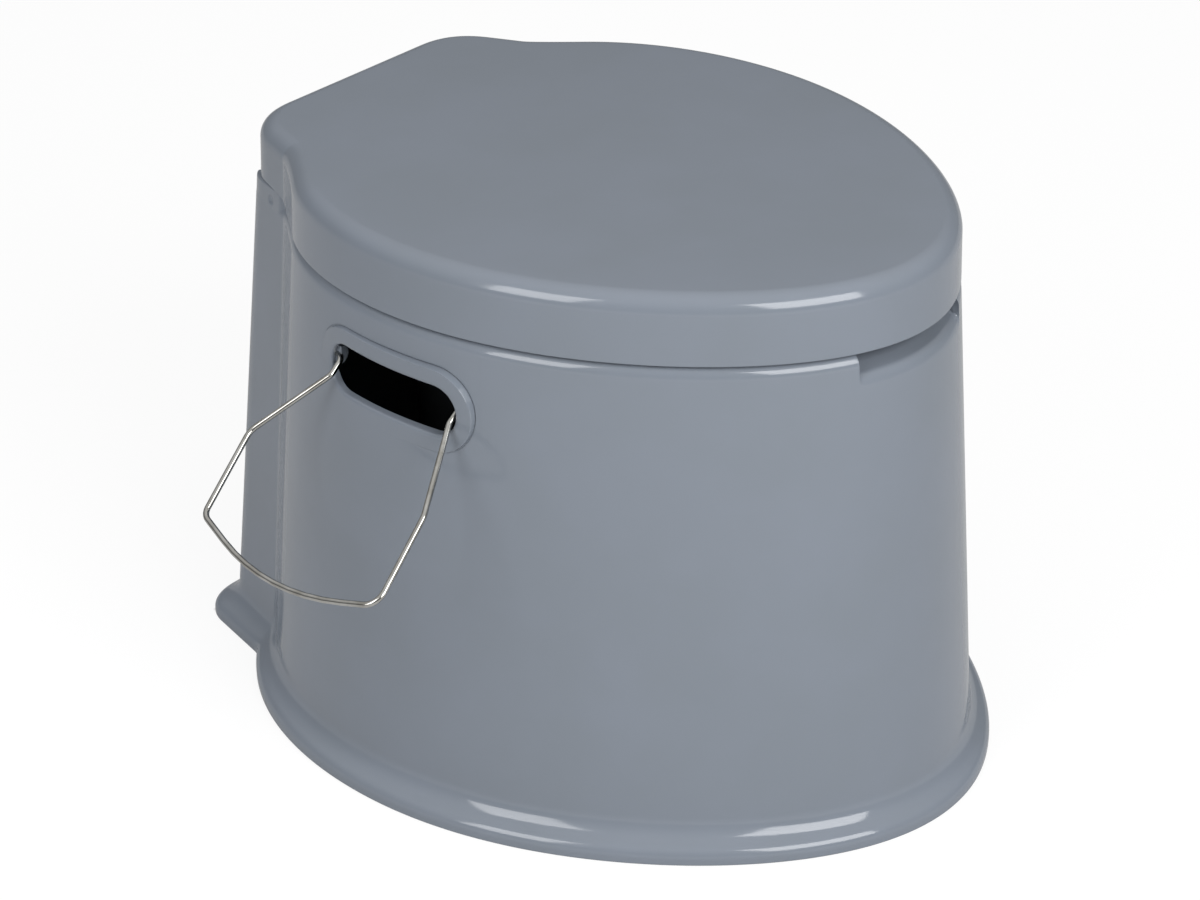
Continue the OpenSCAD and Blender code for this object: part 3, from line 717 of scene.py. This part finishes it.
def make_seat():
    bm = bmesh.new()
    out = -LID_WALL - SEAT_CLEAR
    top, low = SEAT_Z + SEAT_H, SEAT_Z + SEAT_H - SEAT_DISH

    def edge_rings(wall, steps):
        edge = edge_profile(top - wall, out - wall, SEAT_EDGE_R - wall, steps)
        return [level(oval_plan(o), z) for z, o in [(SEAT_Z, out - wall)] + edge]

    def hole_rings(wall, steps):
        rings = [(SEAT_Z + SEAT_WALL, -wall)] + edge_profile(low - wall, -wall, SEAT_LIP_R - wall, steps)
        return [level(mouth(oval_plan(0), SEAT_HOLE_W / 2 - o, SEAT_HOLE_LEN / 2 - o), z)
                for z, o in rings]

    def across(outer, inner, steps):
        """Rings of the gently dished top between its outer edge and the opening."""
        rings = []
        for s in shares(steps, 1)[:-1]:
            fall = (1 - cos(pi * s)) / 2
            rings.append([Vector((p.x + (q.x - p.x) * s, p.y + (q.y - p.y) * s,
                                  p.z + (q.z - p.z) * fall)) for p, q in zip(outer, inner)])
        return rings

    outer, hole = edge_rings(0, 8), hole_rings(0, 8)
    under, inside = edge_rings(SEAT_WALL, 5), hole_rings(SEAT_WALL, 5)
    stack = outer + across(outer[-1], hole[-1], 8) + hole[::-1]
    stack += inside + across(inside[-1], under[-1], 6) + under[::-1]
    loops = loft(bm, stack)
    join(bm, loops[-1], loops[0])
    for x_low, x_high in both(*SEAT_EAR):
        bar(bm, x_low, x_high, HINGE.y, HINGE.z, round_outline(EAR_R), PIN_R + PIN_PLAY)
        bar(bm, x_low + EAR_EASE, x_high - EAR_EASE, HINGE.y, HINGE.z, SEAT_ARM)
    return finish_mesh(bm, "seat_moulding")


# ---- bucket, bail and grip ----

def make_bucket():
    bm = bmesh.new()
    base = oval_plan(0)
    top = FLANGE_Z + FLANGE_T

    def ring(out, z, extra=0):
        drop = BUCKET_TAPER * (top - z) / BUCKET_DEPTH
        return level(mouth(base, BUCKET_A + out - drop - extra, BUCKET_B + out - drop - extra), z)

    def flange_ring(back, z):
        return level(mouth(base, BUCKET_A + FLANGE_W - back, BUCKET_B + FLANGE_W - back), z)

    floor = top - BUCKET_DEPTH
    heights = [floor + BUCKET_FOOT_R + (FLANGE_Z - floor - BUCKET_FOOT_R) * s for s in shares(8)]
    foot = [(floor + BUCKET_FOOT_R * (1 - cos(pi / 2 * s)), BUCKET_FOOT_R * (1 - sin(pi / 2 * s)))
            for s in shares(8)]
    outer = [ring(BUCKET_WALL, floor, 60)] + [ring(BUCKET_WALL, z, e) for z, e in foot]
    outer += [ring(BUCKET_WALL, z) for z in heights[1:]]
    outer += [flange_ring(0.6, FLANGE_Z), flange_ring(0.15, FLANGE_Z + 0.2), flange_ring(0, FLANGE_Z + 0.7),
              flange_ring(0, top - 0.9), flange_ring(0.25, top - 0.25), flange_ring(0.9, top)]
    inner = [ring(1.2, top), ring(0.35, top - 0.3), ring(0, top - 1)]
    inner += [ring(0, z + BUCKET_WALL * (z < top - 20)) for z in heights[-2::-1]]
    inner += [ring(0, z + BUCKET_WALL, e) for z, e in foot[-2::-1]] + [ring(0, floor + BUCKET_WALL, 60)]
    loops = loft(bm, outer + inner)
    cap(bm, loops[0])
    cap(bm, loops[-1])
    ear = [(4, 3), (3, 4), (-3, 4), (-4, 3), (-4, 0), (-4, -8.4), (0, -8.4), (4, -8.4), (4, 0)]
    for x_low, x_high in both(BAIL_X - BAIL_R * 1.8, BAIL_X + BAIL_R * 1.8):
        bar(bm, x_low, x_high, -BUCKET_FRONT, BAIL_Z, ear, BAIL_R + PIN_PLAY)
    return finish_mesh(bm, "bucket_moulding")


def heading(a, b):
    return (b - a).normalized()


def rounded(path, step=radians(5)):
    """Points along a flat path whose (x, y, radius) corners are rounded."""
    places = [Vector(p[:2]) for p in path]
    points = [places[0]]
    for before, p, after, (_, _, r) in zip(places, places[1:], places[2:], path[1:]):
        back, ahead = heading(before, p), heading(p, after)
        turn = -back.angle_signed(ahead)
        start = p - back * r * tan(abs(turn) / 2)
        side = 1 if turn > 0 else -1
        centre = start + Vector((-back.y, back.x)) * r * side
        steps = max(3, ceil(abs(turn) / step))
        for k in range(steps + 1):
            points.append(centre + Matrix.Rotation(turn * k / steps, 2) @ (start - centre))
    return points + [places[-1]]


def wire(bm, path, r, end_len, place, sides=20):
    """Bent round wire along a flat path, with straight ends, put in place by a matrix."""
    points = rounded(path)
    first, last = heading(points[1], points[0]), heading(points[-2], points[-1])
    chamfer = r * 0.3
    points = ([points[0] + first * end_len, points[0] + first * (end_len - chamfer)] + points
              + [points[-1] + last * (end_len - chamfer), points[-1] + last * end_len])
    stack = []
    for i, p in enumerate(points):
        back = heading(points[max(i - 1, 0)], points[max(i, 1)])
        ahead = heading(points[min(i, len(points) - 2)], points[min(i + 1, len(points) - 1)])
        way = (back + ahead).normalized()
        size = r - chamfer * (i in (0, len(points) - 1))
        across = Vector((-way.y, way.x)) * size
        stack.append([place @ Vector((p.x + across.x * cos(t), p.y + across.y * cos(t), size * sin(t)))
                      for t in (2 * pi * k / sides for k in range(sides))])
    loops = loft(bm, stack)
    cap(bm, loops[0])
    cap(bm, loops[-1])


def make_bail():
    bm = bmesh.new()
    side = BAIL_X + BAIL_R * 3.8
    bend = BAIL_R * 1.6
    half = [(side - bend - BAIL_R, 0, 0), (side, 0, bend), (side, BAIL_BACK * 0.4, BAIL_R * 10),
            (BAIL_X - BAIL_BEND_R / 2, BAIL_BACK, BAIL_BEND_R)]
    path = half + [(-x, y, r) for x, y, r in reversed(half)]
    wire(bm, path, BAIL_R, BAIL_R * 4, Matrix.Translation((0, -BUCKET_FRONT, BAIL_Z)))
    return finish_mesh(bm, "bail_wire")


def make_grip():
    """Grip tube with rounded ends and shallow finger waves along it."""
    bm = bmesh.new()
    half, r = GRIP_LEN / 2, GRIP_R
    ends = [(half - 2 + 2 * sin(pi / 2 * s), r - 2 + 2 * cos(pi / 2 * s)) for s in shares(6)]
    deep, pitch = GRIP_WAVE
    waves = [(x, r - deep + deep * cos(2 * pi * x / pitch)) for x in
             [-half + 4 + (GRIP_LEN - 8) * s for s in shares(48)]]
    profile = [(-x, q) for x, q in reversed(ends)] + waves + ends
    rings = [(profile[0][0], BAIL_R + PIN_PLAY)] + profile + [(profile[-1][0], BAIL_R + PIN_PLAY)]
    loops = loft(bm, [[Vector((x, BAIL_BACK - BUCKET_FRONT + p.x, BAIL_Z + p.y))
                       for p in round_outline(q, 40)] for x, q in rings])
    join(bm, loops[-1], loops[0])
    return finish_mesh(bm, "bail_grip_tube")


# ---- roll holder ----

def make_holder():
    bm = bmesh.new()
    d, root = HOLDER_R * 2, HOLDER_ROOT_W / 2
    tip = root + HOLDER_REAR_BEND_R + HOLDER_R / 2
    arm = PIVOT_INSET + 2
    path = [(0, -tip, 0), (0, -root, d * 0.7), (-arm, -root, d * 2),
            (-HOLDER_FRONT_BEND[0], -HOLDER_FRONT_BEND[1], d * 4),
            (-HOLDER_FRONT_CORNER[0], -HOLDER_FRONT_CORNER[1], d * 3),
            (-HOLDER_BOW[0], -HOLDER_BOW[1], HOLDER_BOW_R),
            (-HOLDER_REAR_CORNER[0], HOLDER_REAR_CORNER[1], d * 2.3),
            (-HOLDER_REAR_BEND[0], HOLDER_REAR_BEND[1], d * 4),
            (-arm, root, d * 2), (0, root, HOLDER_REAR_BEND_R), (0, tip, 0)]
    place = Matrix.Translation(PIVOT) @ Matrix.Rotation(radians(-HOLDER_ANGLE), 4, "Y")
    wire(bm, path, HOLDER_R, SLOT_LEN / 2 + COLLAR_T - tip, place, 24)
    return finish_mesh(bm, "roll_holder_wire")


# ---- materials ----

def srgb(code):
    """Linear colour of an sRGB hex value."""
    parts = [int(code[i:i + 2], 16) / 255 for i in (1, 3, 5)]
    return [p / 12.92 if p <= 0.04045 else ((p + 0.055) / 1.055) ** 2.4 for p in parts] + [1]


def per_mm(size):
    """Pattern scale on object coordinates, in metres, for features of a size in millimetres."""
    return 1 / (size * MM)


def add_node(tree, kind, links=None, stops=(), **settings):
    """Node with settings on itself or its sockets, links from other nodes' sockets, and a ramp's stops."""
    made = tree.nodes.new(kind)
    for name, value in settings.items():
        if hasattr(made, name):
            setattr(made, name, value)
        else:
            made.inputs[name.replace("_", " ")].default_value = value
    for name, source in (links or {}).items():
        tree.links.new(source, made.inputs[name])
    if stops:
        for stop, (position, colour) in zip(list(made.color_ramp.elements), stops):
            stop.position, stop.color = position, colour
    return made


def new_material(name):
    """Material with its node tree, its shader and its object coordinates."""
    material = bpy.data.materials.new(name)
    material.use_nodes = True
    tree = material.node_tree
    place = add_node(tree, "ShaderNodeTexCoord").outputs["Object"]
    return material, tree, tree.nodes["Principled BSDF"], place


def moulded(name, colour, deep, roughness, skin_mm, skin_depth, scratch):
    """Injection-moulded polypropylene: even colour with faint cloudiness, a fine orange-peel skin that
    breaks up the edges of its reflections, and hair scratches from use."""
    material, tree, shader, place = new_material(name)
    cloud = add_node(tree, "ShaderNodeTexNoise", {"Vector": place}, Scale=per_mm(55), Detail=3)
    tint = add_node(tree, "ShaderNodeValToRGB", {"Fac": cloud.outputs["Fac"]},
                    [(0.35, srgb(deep)), (0.65, srgb(colour))])
    tree.links.new(tint.outputs["Color"], shader.inputs["Base Color"])
    wipe = add_node(tree, "ShaderNodeTexNoise", {"Vector": place}, Scale=per_mm(18), Detail=4)
    polish = add_node(tree, "ShaderNodeMapRange", {"Value": wipe.outputs["Fac"]}, From_Min=0.3,
                      From_Max=0.7, To_Min=roughness - 0.03, To_Max=roughness + 0.04)
    tree.links.new(polish.outputs["Result"], shader.inputs["Roughness"])
    skin = add_node(tree, "ShaderNodeTexNoise", {"Vector": place}, Scale=per_mm(skin_mm), Detail=2)
    bump = add_node(tree, "ShaderNodeBump", {"Height": skin.outputs["Fac"]}, Distance=skin_depth * MM,
                    Strength=1)
    turned = add_node(tree, "ShaderNodeMapping", {"Vector": place}, Rotation=(0.5, 0.35, 0.8),
                      Scale=(1, 9, 1))
    hair = add_node(tree, "ShaderNodeTexNoise", {"Vector": turned.outputs["Vector"]},
                    Scale=per_mm(26), Detail=1)
    line = add_node(tree, "ShaderNodeMapRange", {"Value": hair.outputs["Fac"]}, From_Min=0.79,
                    From_Max=0.8)
    groove = add_node(tree, "ShaderNodeBump", {"Height": line.outputs["Result"],
                                               "Normal": bump.outputs["Normal"]},
                      Distance=scratch * MM, Strength=1, invert=True)
    tree.links.new(groove.outputs["Normal"], shader.inputs["Normal"])
    shader.inputs["IOR"].default_value = 1.49
    return material


def metal(name, colour, worn, roughness, grain, grain_mm, along):
    """Drawn or brushed steel: metallic, with fine lines along the way that it was worked."""
    material, tree, shader, place = new_material(name)
    stretch = add_node(tree, "ShaderNodeMapping", {"Vector": place},
                       Scale=tuple(0.06 if i == along else 1 for i in range(3)))
    lines = add_node(tree, "ShaderNodeTexNoise", {"Vector": stretch.outputs["Vector"]},
                     Scale=per_mm(grain_mm), Detail=3)
    stain = add_node(tree, "ShaderNodeTexNoise", {"Vector": place}, Scale=per_mm(9), Detail=4)
    tint = add_node(tree, "ShaderNodeValToRGB", {"Fac": stain.outputs["Fac"]},
                    [(0.38, srgb(worn)), (0.62, srgb(colour))])
    tree.links.new(tint.outputs["Color"], shader.inputs["Base Color"])
    polish = add_node(tree, "ShaderNodeMapRange", {"Value": stain.outputs["Fac"]}, From_Min=0.3,
                      From_Max=0.7, To_Min=roughness + 0.06, To_Max=roughness - 0.03)
    tree.links.new(polish.outputs["Result"], shader.inputs["Roughness"])
    bump = add_node(tree, "ShaderNodeBump", {"Height": lines.outputs["Fac"]}, Distance=grain * MM,
                    Strength=1)
    tree.links.new(bump.outputs["Normal"], shader.inputs["Normal"])
    shader.inputs["Metallic"].default_value = 1
    return material


# Casing, lid and seat: semi-gloss blue-grey polypropylene from a polished mould
blue_grey_pp = moulded("semi_gloss_polypropylene", "#757C86", "#737A83", 0.1, 1.6, 0.003, 0.02)
# Bucket: dark polypropylene from a satin mould
dark_pp = moulded("satin_dark_polypropylene", "#1B1D1F", "#191B1D", 0.42, 0.9, 0.02, 0.02)
# Grip: black matt plastic, its spark-eroded grain drawn coarser than the real one so that it shows
black_matt = moulded("matt_black_polypropylene", "#26282A", "#242628", 0.6, 0.6, 0.05, 0.01)
# Wire: bright nickel-plated drawn steel, slightly warm, its draw lines coarser than the real ones
bright_wire = metal("nickel_plated_wire", "#B9B8B4", "#9F9D97", 0.09, 0.004, 0.4, 1)
# Pins: steel brushed along their length, with coarser lines than the real ones so that they show
pin_steel = metal("brushed_pin_steel", "#B9BBBC", "#A6A8A9", 0.3, 0.01, 0.3, 0)


# ---- pieces ----

def place_piece(piece, material, slot, body, *nodes):
    piece.data.materials.clear()
    piece.data.materials.append(material)
    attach(piece, body)
    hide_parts(*nodes)


for piece, material, slot, body, node_name in (
        (make_casing(), blue_grey_pp, "casing_plastic", "casing", "body_shell"),
        (make_lid(), blue_grey_pp, "casing_plastic", "lid", "lid"),
        (make_seat(), blue_grey_pp, "casing_plastic", "seat", "seat"),
        (make_bucket(), dark_pp, "bucket_plastic", "casing", "bucket"),
        (make_bail(), bright_wire, "wire_steel", "casing", "bucket_bail"),
        (make_grip(), black_matt, "grip_plastic", "casing", "bail_grip"),
        (make_holder(), bright_wire, "wire_steel", "roll_holder", "roll_holder")):
    weighted(piece)
    place_piece(piece, material, slot, body, node_name)

for name in ("hinge_pin_left", "hinge_pin_right"):
    pin = frame["nodes"][name]
    pin.data.materials.clear()
    pin.data.materials.append(pin_steel)

# ---- floor, world and lamps ----

floor_bm = bmesh.new()
bmesh.ops.create_grid(floor_bm, x_segments=1, y_segments=1, size=FLOOR_REACH)
floor = finish_mesh(floor_bm, "studio_floor")
floor_material, floor_tree, floor_shader, floor_place = new_material("white_studio_floor")
floor_shader.inputs["Roughness"].default_value = 0.9
floor.data.materials.append(floor_material)

# Only camera rays see the floor white, with the object's soft shadow kept, but for the dark inside of
# the casing. All others, glossy and transmission rays too, see plain grey
seen = add_node(floor_tree, "ShaderNodeLightPath").outputs["Is Camera Ray"]
oval, block = (add_node(floor_tree, "ShaderNodeMapping", {"Vector": floor_place}, vector_type="TEXTURE",
                        Location=middle, Scale=reach).outputs["Vector"]
               for middle, reach in (OVAL_FOOTPRINT, BLOCK_FOOTPRINT))
oval_reach = add_node(floor_tree, "ShaderNodeVectorMath", {"Vector": oval}, operation="LENGTH")
block_side = add_node(floor_tree, "ShaderNodeVectorMath", {"Vector": block}, operation="ABSOLUTE")
block_way = add_node(floor_tree, "ShaderNodeSeparateXYZ", {"Vector": block_side.outputs["Vector"]})
block_reach = add_node(floor_tree, "ShaderNodeMath", operation="MAXIMUM")
nearest = add_node(floor_tree, "ShaderNodeMath", operation="MINIMUM")
for node, first, second in ((block_reach, block_way.outputs["X"], block_way.outputs["Y"]),
                            (nearest, oval_reach.outputs["Value"], block_reach.outputs["Value"])):
    floor_tree.links.new(first, node.inputs[0])
    floor_tree.links.new(second, node.inputs[1])
outside = add_node(floor_tree, "ShaderNodeMapRange", {"Value": nearest.outputs["Value"]}, From_Min=0.99,
                   To_Max=FLOOR_GLOW).outputs["Result"]
tone = add_node(floor_tree, "ShaderNodeValToRGB", {"Fac": seen},
                [(0, srgb("#C8C8C8")), (1, srgb("#FFFFFF"))])
floor_tree.links.new(tone.outputs["Color"], floor_shader.inputs["Base Color"])
glow = add_node(floor_tree, "ShaderNodeEmission", Strength=1)
share = add_node(floor_tree, "ShaderNodeMapRange", {"Value": seen, "To Max": outside}).outputs["Result"]
blend = add_node(floor_tree, "ShaderNodeMixShader", {"Fac": share})
floor_tree.links.new(floor_shader.outputs["BSDF"], blend.inputs[1])
floor_tree.links.new(glow.outputs["Emission"], blend.inputs[2])
floor_tree.links.new(blend.outputs["Shader"], floor_tree.nodes["Material Output"].inputs["Surface"])

bpy.context.scene.view_settings.view_transform = "Standard"
world = bpy.data.worlds.new("studio")
bpy.context.scene.world = world
world.use_nodes = True
sky = world.node_tree
background = sky.nodes["Background"]
background.inputs["Color"].default_value = (1, 1, 1, 1)
# Dim room that grows brighter overhead, which light, gloss and metal take; only camera rays see white
direction = add_node(sky, "ShaderNodeTexCoord").outputs["Generated"]
way = add_node(sky, "ShaderNodeSeparateXYZ", {"Vector": direction})
room = add_node(sky, "ShaderNodeMapRange", {"Value": way.outputs["Z"]}, From_Min=0.3,
                To_Min=WORLD_LIGHT, To_Max=ZENITH_LIGHT).outputs["Result"]
seen = add_node(sky, "ShaderNodeLightPath").outputs["Is Camera Ray"]
strength = add_node(sky, "ShaderNodeMapRange", {"Value": seen, "To Min": room}).outputs["Result"]
sky.links.new(strength, background.inputs["Strength"])


def way_at(azimuth, elevation):
    """Direction away from the object, in degrees from its front and above the floor."""
    a, e = radians(azimuth), radians(elevation)
    return Vector((sin(a) * cos(e), -cos(a) * cos(e), sin(e)))


def softbox(name, azimuth, elevation, reach, width, height, power):
    """Area light that faces the object's middle."""
    data = bpy.data.lights.new(name, "AREA")
    data.shape, data.size, data.size_y, data.energy = "RECTANGLE", width, height, power
    lamp = bpy.data.objects.new(name, data)
    way = way_at(azimuth, elevation)
    lamp.location = LAMP_TARGET + way * reach
    lamp.rotation_euler = way.to_track_quat("Z", "Y").to_euler()
    bpy.context.scene.collection.objects.link(lamp)


softbox("left_softbox", -89, 31, 2.2, 0.8, 1.2, 17)
softbox("right_softbox", -15, 31, 2.2, 1.3, 1.2, 36)

# ---- camera ----

camera_data = bpy.data.cameras.new("camera")
camera_data.lens = CAMERA_LENS
camera_data.sensor_width = CAMERA_SENSOR
camera_data.clip_end = CAMERA_CLIP
camera = bpy.data.objects.new("camera", camera_data)
bpy.context.scene.collection.objects.link(camera)
bpy.context.scene.camera = camera
view_way = way_at(CAMERA_AZIMUTH, CAMERA_ELEVATION)
camera.location = CAMERA_TARGET + view_way * CAMERA_REACH
camera.rotation_euler = view_way.to_track_quat("Z", "Y").to_euler()
